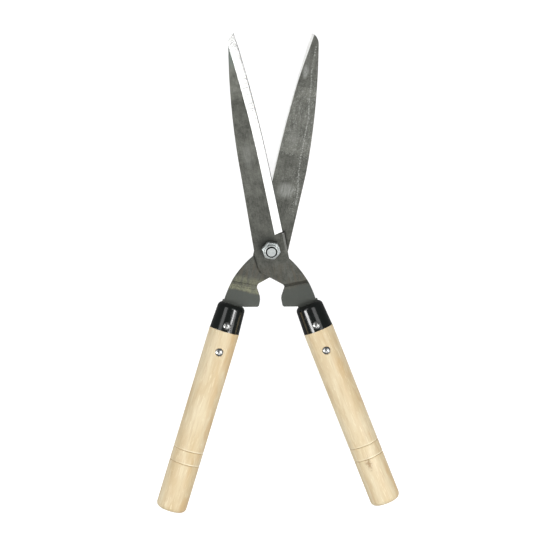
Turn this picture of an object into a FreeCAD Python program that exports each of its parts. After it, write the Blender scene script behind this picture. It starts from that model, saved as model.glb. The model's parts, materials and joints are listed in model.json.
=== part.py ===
"""Hedge shears with turned wooden handles, lying flat with the pivot nut on top.

Frame: millimetres.  The pivot axis is Z and the origin is on it, at the underside of the pivot
bolt's head.  +Y runs along the line midway between the two blades, towards their tips.  +X is to
the right when the nut faces the viewer.

The shears are two halves that cross at the pivot.  The front half is the one under the nut.  Both
halves are drawn closed, with their cutting edge to +X for the front half and mirrored for the rear
one, and then each is turned by half the opening angle about the pivot.
"""
import FreeCAD, Part
import math
import os

import Sketcher

# ---------------------------------------------------------------- driving dimensions

DIMENSIONS = {
    # the opening angle at rest, and how the tangs are set, in degrees
    "half_opening": 11.2,
    "tang_bend": 15.0,
    "splay_front": 10.6,
    "splay_rear": 6.3,
    # the pressed steel plate of each half
    "plate_thick": 3.2,
    "plate_gap": 0.1,
    "pivot_bore": 10.0,
    "joggle_long": 3.8,
    "crease_y": -42.2,
    # blade outline, closed position, cutting edge to +X
    "ricasso_x": 15.5,
    "shoulder_front_y": -13.6,
    "shoulder_rear_y": -12.0,
    "relief_x": 15.5,
    "relief_y": 60.0,
    "belly_x": 12.6,
    "belly_y": 150.0,
    "point_x": 5.0,
    "point_y": 212.6,
    "nose_front_x": -1.8,
    "nose_rear_x": -3.2,
    "nose_y": 204.2,
    "nose_bow": 11.0,
    "spine_front_x": -14.4,
    "spine_rear_x": -17.8,
    "spine_y": 80.0,
    "spine_bow": 708.0,
    "hip_x": -16.8,
    "hip_y": -5.6,
    "waist_x": -15.6,
    "waist_y": -16.0,
    "crotch_x": -10.8,
    "crotch_y": -24.7,
    "crotch_bow": 11.0,
    # tang outline
    "notch_x": 4.3,
    "notch_top_y": -37.6,
    "notch_low_y": -44.3,
    "notch_bow": 5.0,
    "ramp_x": 0.9,
    "ramp_y": -50.2,
    "stop_x": 0.15,
    "stop_top_y": -52.8,
    "stop_low_y": -57.6,
    "stop_bow": 2.4,
    "toe_x": 2.5,
    "toe_y": -60.0,
    "seat_in_x": 14.3,
    "seat_in_y": -62.1,
    "seat_out_front_x": 33.7,
    "seat_out_rear_x": 34.9,
    "seat_out_y": -59.6,
    "flank_bow": 99.0,
    # ground bevel of the cutting edge
    "bevel_wide": 8.4,
    "edge_land": 0.25,
    "heel_x": 14.6,
    "heel_y": 13.8,
    "edge_mid_x": 13.6,
    "edge_mid_y": 80.0,
    "edge_bow": 1400.0,
    "edge_end_y": 221.0,
    # where each handle's axis passes, in the plane of the bent tang
    "grip_x": 27.6,
    "grip_down": 32.8,
    "ferrule_above": 12.8,
    # tang inside the handle
    "tang_wide": 20.8,
    "tang_neck": 15.0,
    "tang_sunk": 3.0,
    "tang_long": 61.5,
    "tang_lap": 5.0,
    "tang_clear": 0.1,
    "tang_deeper": 0.6,
    "tang_end_clear": 1.0,
    # ferrule
    "ferrule_long": 27.4,
    "ferrule_top_dia": 27.4,
    "ferrule_dia": 29.6,
    "ferrule_round": 5.0,
    "ferrule_wall": 1.4,
    # wooden handle
    "wood_dia": 30.0,
    "wood_long": 185.2,
    "wood_round": 5.0,
    "wood_fit": 0.05,
    "spigot_clear": 3.4,
    "spigot_chamfer": 2.0,
    "spigot_drop": 0.4,
    "ring_one": 122.8,
    "ring_two": 136.2,
    "ring_deep": 0.6,
    "ring_wide": 1.6,
    # rivets and their burrs
    "rivet_dia": 4.8,
    "rivet_hole": 4.9,
    "rivet_head_dia": 7.8,
    "rivet_head_high": 1.7,
    "rivet_rim": 0.4,
    "rivet_seat": 14.4,
    "rivet_one": 21.5,
    "rivet_two": 48.1,
    "seat_dia": 8.8,
    "burr_dia": 8.4,
    "burr_thick": 0.8,
    "peen_dia": 6.6,
    "peen_high": 1.2,
    # pivot fasteners, M10
    "hex_flats": 16.0,
    "chamfer_in": 0.3,
    "chamfer_angle": 30.0,
    "head_high": 6.4,
    "bolt_dia": 9.9,
    "bolt_long": 17.6,
    "bolt_chamfer": 0.8,
    "bolt_turn": 17.0,
    "washer_dia": 20.0,
    "washer_hole": 10.5,
    "washer_thick": 2.0,
    "nut_high": 9.0,
    "nut_hex_high": 5.8,
    "nut_turn": -9.7,
    "collar_dia": 14.0,
    "collar_mouth": 11.5,
    "collar_round": 1.1,
    "thread_hole": 9.94,
    "insert_dia": 12.6,
    "insert_floor": 5.9,
    "insert_high": 1.7,
}

CUT_REACH = 60.0
"""How long the through-cuts are, well past the plate or handle that they cut."""

BEVEL_CLEAR = 4.0
"""How far the bevel's cutting profile stands clear of the plate on every side."""

CORNER_CLEAR = 0.2
"""How far a hexagon's chamfering groove stands clear of the corners."""

ZERO = "0 * 1"
"""The expression for a coordinate on an axis."""


def make_sheet(doc):
    """The spreadsheet with one named cell for each driving dimension."""
    sheet = doc.addObject("Spreadsheet::Sheet", "Dims")
    for row, (alias, value) in enumerate(DIMENSIONS.items(), start=1):
        sheet.set(f"A{row}", alias.replace("_", " "))
        sheet.set(f"B{row}", str(value))
        sheet.setAlias(f"B{row}", alias)
    doc.recompute()
    return sheet


def signed(alias, sign):
    """The expression for a cell, negated for the mirrored half."""
    return f"{sign} * Dims.{alias}"


# ---------------------------------------------------------------- sketch helpers


def new_body(doc, label):
    body = doc.addObject("PartDesign::Body", label)
    body.Label = label
    return body


def origin_plane(body, role):
    return next(f for f in body.Origin.OriginFeatures if f.Role == role)


def new_sketch(body, name, role="XY_Plane", offset=None):
    """A sketch on one of the body's own origin planes, moved by offset within that plane's frame."""
    sketch = body.newObject("Sketcher::SketchObject", name)
    sketch.AttachmentSupport = (origin_plane(body, role), "")
    sketch.MapMode = "FlatFace"
    if offset is not None:
        sketch.AttachmentOffset = offset
    return sketch


def bow_point(start, end, radius):
    """The middle of the arc from start to end.  A positive radius bows to the left of the way along."""
    chord = end - start
    reach = abs(radius)
    rise = reach - math.sqrt(reach**2 - (chord.Length / 2) ** 2)
    left = FreeCAD.Vector(-chord.y, chord.x, 0).normalize()
    return (start + end) * 0.5 + left * math.copysign(rise, radius)


def draw_outline(doc, sketch, corners):
    """A closed outline.  Each corner is (x expression, y expression, bow), where bow is None for a
    straight run to the next corner, or (radius expression, side) for an arc, side +1 bowing left."""
    points = [
        FreeCAD.Vector(doc.Dims.evalExpression(x), doc.Dims.evalExpression(y), 0)
        for x, y, _ in corners
    ]
    draw_runs(doc, sketch, corners, points, closed=True)


def draw_runs(doc, sketch, corners, points, closed):
    """Adds the runs between the corners, joins them and binds every corner and radius to the sheet."""
    count = len(points) if closed else len(points) - 1
    ends = []
    for index in range(count):
        start, end = points[index], points[(index + 1) % len(points)]
        bow = corners[index][2]
        if bow is None:
            run = Part.LineSegment(start, end)
        else:
            radius = doc.Dims.evalExpression(bow[0]) * bow[1]
            run = Part.Arc(start, bow_point(start, end, radius), end)
        geo = sketch.addGeometry(run, False)
        first = 1 if sketch.getPoint(geo, 1).distanceToPoint(start) < 1e-6 else 2
        ends.append((geo, first, 3 - first))
        if bow is not None:
            tie = sketch.addConstraint(Sketcher.Constraint("Radius", geo, abs(radius)))
            sketch.setExpression(f"Constraints[{tie}]", bow[0])
    for index, (geo, first, last) in enumerate(ends):
        if closed or index + 1 < count:
            after, after_first, _ = ends[(index + 1) % count]
            sketch.addConstraint(Sketcher.Constraint("Coincident", geo, last, after, after_first))
        pin_point(sketch, geo, first, points[index], corners[index])
    if not closed:
        geo, _, last = ends[-1]
        pin_point(sketch, geo, last, points[-1], corners[-1])


def pin_point(sketch, geo, end, point, corner):
    """Ties one end of a run to its two expressions."""
    for kind, value, expression in (("DistanceX", point.x, corner[0]), ("DistanceY", point.y, corner[1])):
        tie = sketch.addConstraint(Sketcher.Constraint(kind, geo, end, value))
        sketch.setExpression(f"Constraints[{tie}]", expression)


def draw_circle(doc, sketch, diameter, x=ZERO, y=ZERO):
    """A circle whose diameter and centre are expressions."""
    centre = FreeCAD.Vector(doc.Dims.evalExpression(x), doc.Dims.evalExpression(y), 0)
    size = doc.Dims.evalExpression(diameter)
    geo = sketch.addGeometry(Part.Circle(centre, FreeCAD.Vector(0, 0, 1), size / 2), False)
    tie = sketch.addConstraint(Sketcher.Constraint("Diameter", geo, size))
    sketch.setExpression(f"Constraints[{tie}]", diameter)
    pin_point(sketch, geo, 3, centre, (x, y))


def draw_rectangle(doc, sketch, left, right, low, high):
    corners = [(left, low, None), (right, low, None), (right, high, None), (left, high, None)]
    draw_outline(doc, sketch, corners)


def draw_hexagon(doc, sketch, flats):
    """A regular hexagon with one corner on the sketch's X axis, sized across its flats."""
    reach = f"{flats} / sqrt(3)"
    corners = []
    for turn in range(0, 360, 60):
        corners.append((f"{reach} * cos({turn} deg)", f"{reach} * sin({turn} deg)", None))
    draw_outline(doc, sketch, corners)


# ---------------------------------------------------------------- feature helpers


def pad(body, sketch, length, name, reverse=False, middle=False):
    feature = body.newObject("PartDesign::Pad", name)
    feature.Profile = sketch
    feature.setExpression("Length", length)
    feature.Reversed = reverse
    feature.Midplane = middle


def pocket(body, sketch, length, name, reverse=False, middle=False):
    """A pocket, checked to take material away."""
    doc = body.Document
    doc.recompute()
    before = body.Shape.Volume
    feature = body.newObject("PartDesign::Pocket", name)
    feature.Profile = sketch
    feature.setExpression("Length", length)
    feature.Reversed = reverse
    feature.Midplane = middle
    doc.recompute()
    if body.Shape.Volume > before - 1e-3:
        raise RuntimeError(f"{body.Label}: pocket {name} removes nothing")


def turn(body, sketch, name, kind="PartDesign::Revolution"):
    """A full turn about the sketch's vertical axis."""
    feature = body.newObject(kind, name)
    feature.Profile = sketch
    feature.ReferenceAxis = (sketch, ["V_Axis"])
    feature.Angle = 360.0


# ---------------------------------------------------------------- places


def half_place(sheet, sign):
    """From a half's closed frame, at the plates' meeting plane, to the part's frame."""
    meeting = sheet.head_high + sheet.washer_thick + sheet.plate_thick + sheet.plate_gap / 2
    turned = FreeCAD.Rotation(FreeCAD.Vector(0, 0, 1), sign * sheet.half_opening)
    return FreeCAD.Placement(FreeCAD.Vector(0, 0, meeting), turned)


def handle_in_half(sheet, sign):
    """A handle's frame in its half's closed frame: origin at the middle of the ferrule's top, Z down
    the handle, Y out of the tang's front face."""
    bend = math.radians(sheet.tang_bend)
    splay = math.radians(sheet.splay_front if sign > 0 else sheet.splay_rear)
    across = FreeCAD.Vector(1, 0, 0)
    down = FreeCAD.Vector(0, -math.cos(bend), math.sin(bend))
    front = FreeCAD.Vector(0, math.sin(bend), math.cos(bend))
    along = down * math.cos(splay) + across * (sign * math.sin(splay))
    crease = FreeCAD.Vector(0, sheet.crease_y, 0)
    passing = crease + across * (sign * sheet.grip_x) + down * sheet.grip_down
    top = passing - along * sheet.ferrule_above
    return FreeCAD.Placement(top, FreeCAD.Rotation(front.cross(along), front, along, "ZXY"))


def handle_place(sheet, sign):
    return half_place(sheet, sign).multiply(handle_in_half(sheet, sign))


# ---------------------------------------------------------------- blades


def blade_outline(sign):
    """Corners of one half seen from above, anticlockwise before mirroring."""
    half = "front" if sign > 0 else "rear"

    def corner(x, y, bow=None):
        side = None if bow is None else (f"Dims.{bow[0]}", bow[1] * sign)
        return (signed(x, sign), f"Dims.{y}", side)

    return [
        corner("ricasso_x", f"shoulder_{half}_y"),
        corner("relief_x", "relief_y"),
        corner("belly_x", "belly_y"),
        corner("point_x", "point_y", ("nose_bow", -1)),
        corner(f"nose_{half}_x", "nose_y", ("spine_bow", -1)),
        corner(f"spine_{half}_x", "spine_y"),
        corner("hip_x", "hip_y"),
        corner("waist_x", "waist_y", ("crotch_bow", -1)),
        corner("crotch_x", "crotch_y"),
        corner("notch_x", "notch_top_y", ("notch_bow", 1)),
        corner("notch_x", "notch_low_y"),
        corner("ramp_x", "ramp_y"),
        corner("stop_x", "stop_top_y"),
        corner("stop_x", "stop_low_y", ("stop_bow", -1)),
        corner("toe_x", "toe_y"),
        corner("seat_in_x", "seat_in_y"),
        corner(f"seat_out_{half}_x", "seat_out_y", ("flank_bow", -1)),
    ]


def side_profile(sign, face):
    """The region above (face +1) or below (face -1) the plate, seen from the side: Y along, Z up.
    The plate is flat to the joggle, drops or rises to the meeting plane, then bends up to the tang."""
    flat = f"{sign} * (Dims.plate_gap + Dims.plate_thick) / 2 + {face} * Dims.plate_thick / 2"
    crease_y = f"Dims.crease_y + {face} * Dims.plate_thick / 2 * sin(Dims.tang_bend * 1 deg)"
    crease_z = f"{face} * Dims.plate_thick / 2 * cos(Dims.tang_bend * 1 deg)"
    far = f"{face} * {CUT_REACH}"
    return [
        ("Dims.edge_end_y", flat, None),
        (f"{crease_y} + Dims.joggle_long", flat, None),
        (crease_y, crease_z, None),
        (
            f"{crease_y} - {CUT_REACH} * cos(Dims.tang_bend * 1 deg)",
            f"{crease_z} + {CUT_REACH} * sin(Dims.tang_bend * 1 deg)",
            None,
        ),
        (f"{crease_y} - {CUT_REACH}", far, None),
        ("Dims.edge_end_y", far, None),
    ]


def bevel_path(doc, body, sign):
    """The cutting edge: straight from the heel, then a long arc past the tip, tangent to it."""
    sheet = doc.Dims
    heel = FreeCAD.Vector(sign * sheet.heel_x, sheet.heel_y, 0)
    middle = FreeCAD.Vector(sign * sheet.edge_mid_x, sheet.edge_mid_y, 0)
    lean = math.atan2(sheet.heel_x - sheet.edge_mid_x, sheet.edge_mid_y - sheet.heel_y)
    bow = sheet.edge_bow
    centre_x = sheet.edge_mid_x - bow * math.cos(lean)
    centre_y = sheet.edge_mid_y - bow * math.sin(lean)
    end_x = centre_x + math.sqrt(bow**2 - (sheet.edge_end_y - centre_y) ** 2)
    end = FreeCAD.Vector(sign * end_x, sheet.edge_end_y, 0)
    sketch = new_sketch(body, "EdgePath")
    corners = [
        (signed("heel_x", sign), "Dims.heel_y", None),
        (signed("edge_mid_x", sign), "Dims.edge_mid_y", ("Dims.edge_bow", -sign)),
        (f"{end.x}", "Dims.edge_end_y", None),
    ]
    draw_runs(doc, sketch, corners, [heel, middle, end], closed=False)
    return sketch


def grind_bevel(doc, body, sign):
    """The bevel on the plate's outer face, ground along the cutting edge and ending square at the heel."""
    inner = "Dims.plate_gap / 2"
    below = f"{inner} - {BEVEL_CLEAR}"
    above = f"{inner} + Dims.plate_thick + {BEVEL_CLEAR}"
    beside = f"Dims.heel_x + {BEVEL_CLEAR}"

    def corner(x, height):
        return (f"{sign} * ({x})", f"{sign} * ({height})", None)

    slope = "Dims.bevel_wide / (Dims.plate_thick - Dims.edge_land)"
    corners = [
        corner("Dims.heel_x", below),
        corner(beside, below),
        corner(beside, above),
        corner(f"Dims.heel_x - Dims.bevel_wide - {BEVEL_CLEAR} * {slope}", above),
        corner("Dims.heel_x", f"{inner} + Dims.edge_land"),
    ]
    heel = FreeCAD.Placement(FreeCAD.Vector(0, 0, -doc.Dims.heel_y), FreeCAD.Rotation())
    profile = new_sketch(body, "BevelProfile", "XZ_Plane", heel)
    draw_outline(doc, profile, corners)
    path = bevel_path(doc, body, sign)
    doc.recompute()
    before = body.Shape.Volume
    bevel = body.newObject("PartDesign::SubtractivePipe", "Bevel")
    bevel.Profile = profile
    bevel.Spine = (path, [])
    bevel.Mode = "Fixed"
    doc.recompute()
    if body.Shape.Volume > before - 1.0:
        raise RuntimeError(f"{body.Label}: the bevel removes nothing")


def tang_strip(doc, body, sign):
    """The part of the tang inside the handle, in the plane of the bent tang, with two rivet holes."""
    place = handle_in_half(doc.Dims, sign)
    lying = FreeCAD.Rotation(FreeCAD.Vector(1, 0, 0), 90)
    tang_plane = FreeCAD.Placement(place.Base, place.Rotation.multiply(lying))
    for name, wide, start, end in (
        ("TangMouth", "Dims.tang_wide", "Dims.tang_sunk", "Dims.tang_sunk - Dims.tang_lap"),
        ("TangNeck", "Dims.tang_neck", "Dims.tang_long", ZERO),
    ):
        sketch = new_sketch(body, name, "XY_Plane", tang_plane)
        draw_rectangle(doc, sketch, f"-{wide} / 2", f"{wide} / 2", end, start)
        pad(body, sketch, "Dims.plate_thick", f"{name}Pad", middle=True)
    holes = new_sketch(body, "RivetHoles", "XY_Plane", tang_plane)
    for along in ("Dims.rivet_one", "Dims.rivet_two"):
        draw_circle(doc, holes, "Dims.rivet_hole", y=along)
    pocket(body, holes, f"{CUT_REACH}", "RivetHolesCut", middle=True)


def make_blade(doc, label, sign):
    """One half in one piece: blade, ricasso with the pivot bore, joggled and bent tang."""
    sheet = doc.Dims
    body = new_body(doc, label)
    outline = new_sketch(body, "Outline")
    draw_outline(doc, outline, blade_outline(sign))
    pad(body, outline, f"{CUT_REACH}", "Plate", middle=True)
    for face, name in ((1, "Above"), (-1, "Below")):
        side = new_sketch(body, f"{name}Profile", "YZ_Plane")
        draw_outline(doc, side, side_profile(sign, face))
        pocket(body, side, f"3 * {CUT_REACH}", f"{name}Cut", middle=True)
    grind_bevel(doc, body, sign)
    tang_strip(doc, body, sign)
    bore = new_sketch(body, "PivotBore")
    draw_circle(doc, bore, "Dims.pivot_bore")
    pocket(body, bore, f"{CUT_REACH}", "PivotBoreCut", middle=True)
    body.Placement = half_place(sheet, sign)
    return body


# ---------------------------------------------------------------- handles and ferrules


def draw_tang_slot(doc, sketch, width, depth):
    """The slot for the tang, from above the handle's end down to depth."""
    half = f"({width} / 2 + Dims.tang_clear)"
    draw_rectangle(doc, sketch, f"-{half}", half, "-1 * Dims.tang_end_clear", depth)


def make_ferrule(doc, label, sign):
    """A round cap over the handle's end: rounded shoulder, slightly flared skirt, slot for the tang."""
    body = new_body(doc, label)
    profile = new_sketch(body, "Wall", "XZ_Plane")
    flat = "(Dims.ferrule_top_dia / 2 - Dims.ferrule_round)"
    inner_round = "Dims.ferrule_round - Dims.ferrule_wall"
    draw_outline(
        doc,
        profile,
        [
            (ZERO, ZERO, None),
            (flat, ZERO, ("Dims.ferrule_round", -1)),
            ("Dims.ferrule_top_dia / 2", "Dims.ferrule_round", None),
            ("Dims.ferrule_dia / 2", "Dims.ferrule_long", None),
            ("Dims.ferrule_dia / 2 - Dims.ferrule_wall", "Dims.ferrule_long", None),
            ("Dims.ferrule_top_dia / 2 - Dims.ferrule_wall", "Dims.ferrule_round", (inner_round, 1)),
            (flat, "Dims.ferrule_wall", None),
            (ZERO, "Dims.ferrule_wall", None),
        ],
    )
    turn(body, profile, "Cap")
    slot = new_sketch(body, "TangSlot", "XZ_Plane")
    draw_tang_slot(doc, slot, "Dims.tang_wide", "Dims.tang_sunk + Dims.tang_deeper")
    pocket(body, slot, "Dims.plate_thick + Dims.tang_clear", "TangSlotCut", middle=True)
    rivet_seats(doc, body, ("Dims.rivet_one",))
    body.Placement = handle_place(doc.Dims, sign)
    return body


def rivet_seats(doc, body, stations):
    """Cross holes for the rivets, and a flat seat for each rivet head and burr."""
    holes = new_sketch(body, "CrossHoles", "XZ_Plane")
    for along in stations:
        draw_circle(doc, holes, "Dims.rivet_hole", y=along)
    pocket(body, holes, f"{CUT_REACH}", "CrossHolesCut", middle=True)
    for side, name in ((1, "Front"), (-1, "Back")):
        away = FreeCAD.Placement(FreeCAD.Vector(0, 0, -side * doc.Dims.rivet_seat), FreeCAD.Rotation())
        seats = new_sketch(body, f"{name}Seats", "XZ_Plane", away)
        for along in stations:
            draw_circle(doc, seats, "Dims.seat_dia", y=along)
        pocket(body, seats, f"{CUT_REACH}", f"{name}SeatsCut", reverse=side < 0)


def make_handle(doc, label, sign):
    """A turned handle: spigot inside the ferrule, straight grip, two turned rings, rounded butt."""
    body = new_body(doc, label)
    profile = new_sketch(body, "Turning", "XZ_Plane")
    grip = "Dims.wood_dia / 2"
    butt = "(Dims.ferrule_long + Dims.wood_long)"
    slack = "Dims.ferrule_wall - Dims.wood_fit"
    shoulder = "Dims.ferrule_long + Dims.wood_fit"
    taper = "(Dims.ferrule_dia - Dims.ferrule_top_dia) / 2"
    corners = [
        (ZERO, "Dims.spigot_clear", None),
        (f"Dims.ferrule_top_dia / 2 - {slack} - Dims.spigot_chamfer", "Dims.spigot_clear", None),
        (f"Dims.ferrule_top_dia / 2 - {slack}", "Dims.ferrule_round + Dims.spigot_drop", None),
        (f"Dims.ferrule_top_dia / 2 + {taper} - {slack}", shoulder, None),
        (grip, shoulder, None),
    ]
    for ring in ("Dims.ring_one", "Dims.ring_two"):
        middle = f"Dims.ferrule_long + {ring}"
        corners += [
            (grip, f"{middle} - Dims.ring_wide / 2", None),
            (f"{grip} - Dims.ring_deep", middle, None),
            (grip, f"{middle} + Dims.ring_wide / 2", None),
        ]
    corners += [
        (grip, f"{butt} - Dims.wood_round", ("Dims.wood_round", -1)),
        (f"{grip} - Dims.wood_round", butt, None),
        (ZERO, butt, None),
    ]
    draw_outline(doc, profile, corners)
    turn(body, profile, "Turned")
    slot = new_sketch(body, "TangSlot", "XZ_Plane")
    draw_tang_slot(doc, slot, "Dims.tang_neck", "Dims.tang_long + Dims.tang_end_clear")
    pocket(body, slot, "Dims.plate_thick + Dims.tang_clear", "TangSlotCut", middle=True)
    mouth = new_sketch(body, "TangMouth", "XZ_Plane")
    draw_tang_slot(doc, mouth, "Dims.tang_wide", "Dims.tang_sunk + Dims.tang_deeper")
    pocket(body, mouth, "Dims.plate_thick + Dims.tang_clear", "TangMouthCut", middle=True)
    rivet_seats(doc, body, ("Dims.rivet_one", "Dims.rivet_two"))
    body.Placement = handle_place(doc.Dims, sign)
    return body


# ---------------------------------------------------------------- rivets


def rivet_frame(sheet, sign, along):
    """The rivet's frame: Z out of the handle's front, origin on the handle's axis."""
    across = FreeCAD.Rotation(FreeCAD.Vector(1, 0, 0), -90)
    station = FreeCAD.Placement(FreeCAD.Vector(0, 0, along), across)
    return handle_place(sheet, sign).multiply(station)


def make_rivet(doc, label, sign, along):
    """A domed rivet through handle and tang, its plain end peened into a low dome over the burr."""
    body = new_body(doc, label)
    profile = new_sketch(body, "Section", "XZ_Plane")
    shank = "Dims.rivet_dia / 2"
    head = "Dims.rivet_head_dia / 2"
    peen = "Dims.peen_dia / 2"
    low = "(Dims.rivet_seat + Dims.burr_thick)"
    head_rise = "(Dims.rivet_head_high - Dims.rivet_rim)"
    head_bow = f"({head} * {head} + {head_rise} * {head_rise}) / (2 * {head_rise})"
    peen_bow = f"({peen} * {peen} + Dims.peen_high * Dims.peen_high) / (2 * Dims.peen_high)"
    draw_outline(
        doc,
        profile,
        [
            (ZERO, f"-{low} - Dims.peen_high", (peen_bow, -1)),
            (peen, f"-{low}", None),
            (shank, f"-{low}", None),
            (shank, "Dims.rivet_seat", None),
            (head, "Dims.rivet_seat", None),
            (head, "Dims.rivet_seat + Dims.rivet_rim", (head_bow, -1)),
            (ZERO, "Dims.rivet_seat + Dims.rivet_head_high", None),
        ],
    )
    turn(body, profile, "Rivet")
    body.Placement = rivet_frame(doc.Dims, sign, along)
    return body


def make_ring(doc, label, outer, inner, low, high):
    """A flat ring about Z."""
    body = new_body(doc, label)
    profile = new_sketch(body, "Section", "XZ_Plane")
    draw_rectangle(doc, profile, f"{inner} / 2", f"{outer} / 2", low, high)
    turn(body, profile, "Ring")
    return body


def make_burr(doc, label, sign, along):
    """The small washer under the peened end, in its flat seat on the handle's back."""
    low = "-Dims.rivet_seat - Dims.burr_thick"
    body = make_ring(doc, label, "Dims.burr_dia", "Dims.rivet_hole", low, "-Dims.rivet_seat")
    body.Placement = rivet_frame(doc.Dims, sign, along)
    return body


# ---------------------------------------------------------------- pivot


def chamfer_hexagon(doc, body, name, level, up):
    """Turns the corners of a hexagon down to a cone at its end face at level, facing up or down."""
    sketch = new_sketch(body, f"{name}Corner", "XZ_Plane")
    flats = "Dims.hex_flats / 2"
    corner = "Dims.hex_flats / sqrt(3)"
    inside = f"{flats} - Dims.chamfer_in"
    outside = f"{corner} + {CORNER_CLEAR}"
    drop = f"({outside} - ({inside})) * tan(Dims.chamfer_angle * 1 deg)"
    towards = -1 if up else 1
    draw_outline(
        doc,
        sketch,
        [
            (inside, level, None),
            (outside, level, None),
            (outside, f"{level} + {towards} * {drop}", None),
        ],
    )
    doc.recompute()
    before = body.Shape.Volume
    turn(body, sketch, name, "PartDesign::Groove")
    doc.recompute()
    if body.Shape.Volume > before - 1e-3:
        raise RuntimeError(f"{body.Label}: {name} removes nothing")


def nut_face(sheet):
    """Height of the front plate's outer face, where the nut sits."""
    return sheet.head_high + sheet.washer_thick + 2 * sheet.plate_thick + sheet.plate_gap


def make_bolt(doc):
    """M10 bolt: hexagon head underneath, plain round shank through both plates and the nut."""
    body = new_body(doc, "pivot_bolt")
    head = new_sketch(body, "Hexagon")
    draw_hexagon(doc, head, "Dims.hex_flats")
    pad(body, head, "Dims.head_high", "Head")
    chamfer_hexagon(doc, body, "HeadChamfer", ZERO, up=False)
    profile = new_sketch(body, "ShankSection", "XZ_Plane")
    tip = "(Dims.head_high + Dims.bolt_long)"
    draw_outline(
        doc,
        profile,
        [
            (ZERO, "Dims.head_high / 2", None),
            ("Dims.bolt_dia / 2", "Dims.head_high / 2", None),
            ("Dims.bolt_dia / 2", f"{tip} - Dims.bolt_chamfer", None),
            ("Dims.bolt_dia / 2 - Dims.bolt_chamfer", tip, None),
            (ZERO, tip, None),
        ],
    )
    turn(body, profile, "Shank")
    turned = FreeCAD.Rotation(FreeCAD.Vector(0, 0, 1), doc.Dims.bolt_turn)
    body.Placement = FreeCAD.Placement(FreeCAD.Vector(), turned)
    return body


def make_nut(doc):
    """M10 lock nut: hexagon with a round collar that is crimped over the insert."""
    body = new_body(doc, "pivot_nut")
    hexagon = new_sketch(body, "Hexagon")
    draw_hexagon(doc, hexagon, "Dims.hex_flats")
    pad(body, hexagon, "Dims.nut_hex_high", "Hex")
    chamfer_hexagon(doc, body, "TopChamfer", "Dims.nut_hex_high", up=True)
    chamfer_hexagon(doc, body, "SeatChamfer", ZERO, up=False)
    collar = new_sketch(body, "CollarSection", "XZ_Plane")
    side = "Dims.collar_dia / 2"
    draw_outline(
        doc,
        collar,
        [
            (ZERO, "Dims.nut_hex_high / 2", None),
            (side, "Dims.nut_hex_high / 2", None),
            (side, "Dims.nut_high - Dims.collar_round", ("Dims.collar_round", -1)),
            (f"{side} - Dims.collar_round", "Dims.nut_high", None),
            (ZERO, "Dims.nut_high", None),
        ],
    )
    turn(body, collar, "Collar")
    doc.recompute()
    before = body.Shape.Volume
    room = new_sketch(body, "BoreSection", "XZ_Plane")
    roof = "(Dims.insert_floor + Dims.insert_high)"
    draw_outline(
        doc,
        room,
        [
            (ZERO, "-1 * Dims.nut_high", None),
            ("Dims.thread_hole / 2", "-1 * Dims.nut_high", None),
            ("Dims.thread_hole / 2", "Dims.insert_floor", None),
            ("Dims.insert_dia / 2", "Dims.insert_floor", None),
            ("Dims.insert_dia / 2", roof, None),
            ("Dims.collar_mouth / 2", roof, None),
            ("Dims.collar_mouth / 2", "2 * Dims.nut_high", None),
            (ZERO, "2 * Dims.nut_high", None),
        ],
    )
    turn(body, room, "Bore", "PartDesign::Groove")
    doc.recompute()
    if body.Shape.Volume > before - 1.0:
        raise RuntimeError("pivot_nut: the bore removes nothing")
    body.Placement = nut_place(doc.Dims)
    return body


def nut_place(sheet):
    """The nut sits on the front plate, one corner a little past +X."""
    turned = FreeCAD.Rotation(FreeCAD.Vector(0, 0, 1), sheet.nut_turn)
    return FreeCAD.Placement(FreeCAD.Vector(0, 0, nut_face(sheet)), turned)


def make_insert(doc):
    """The nylon ring that grips the thread."""
    low = "Dims.insert_floor"
    high = "Dims.insert_floor + Dims.insert_high"
    body = make_ring(doc, "nut_insert", "Dims.insert_dia", "Dims.thread_hole", low, high)
    body.Placement = nut_place(doc.Dims)
    return body


def make_washer(doc):
    """Flat washer between the bolt head and the rear plate."""
    high = "Dims.head_high + Dims.washer_thick"
    return make_ring(doc, "pivot_washer", "Dims.washer_dia", "Dims.washer_hole", "Dims.head_high", high)


# ---------------------------------------------------------------- the whole part


def make_half(doc, side, sign):
    """Every piece of one half, front or rear, apart from the pivot."""
    sheet = doc.Dims
    pieces = [
        make_blade(doc, f"{side}_blade", sign),
        make_ferrule(doc, f"{side}_ferrule", sign),
        make_handle(doc, f"{side}_handle", sign),
    ]
    for place, along in (("ferrule", sheet.rivet_one), ("handle", sheet.rivet_two)):
        pieces.append(make_rivet(doc, f"{side}_{place}_rivet", sign, along))
        pieces.append(make_burr(doc, f"{side}_{place}_burr", sign, along))
    return pieces


def check_document(doc, pieces):
    """Stops if any object failed, or any piece is not one valid closed solid."""
    for item in doc.Objects:
        if "Invalid" in item.State or "Error" in item.State:
            raise RuntimeError(f"{item.Name} ({item.Label}) failed: {item.State}")
    for piece in pieces:
        shape = piece.Shape
        if shape.isNull() or not shape.isValid() or len(shape.Solids) != 1:
            raise RuntimeError(f"{piece.Label} is not one valid solid")


def main():
    doc = FreeCAD.newDocument("hedge_shears")
    make_sheet(doc)
    pieces = make_half(doc, "front", 1) + make_half(doc, "rear", -1)
    pieces += [make_bolt(doc), make_washer(doc), make_nut(doc), make_insert(doc)]
    doc.recompute()
    check_document(doc, pieces)
    os.makedirs("parts", exist_ok=True)
    for piece in pieces:
        piece.Shape.exportStep(f"parts/{piece.Label}.step")
        print(f"{piece.Label}: {piece.Shape.Volume:.0f} mm3")


main()
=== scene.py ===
"""Looks of the hedge shears: materials, thread, floor, backdrop, lights and camera.

Everything is in metres in the part's own frame: the pivot axis is Z, the blades point to +Y, and
the nut side faces +Z.  The shears lie on the floor on the head of the pivot bolt, nut up.
"""
import json
import math

import bmesh
import bpy
from mathutils import Matrix, Vector


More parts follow.
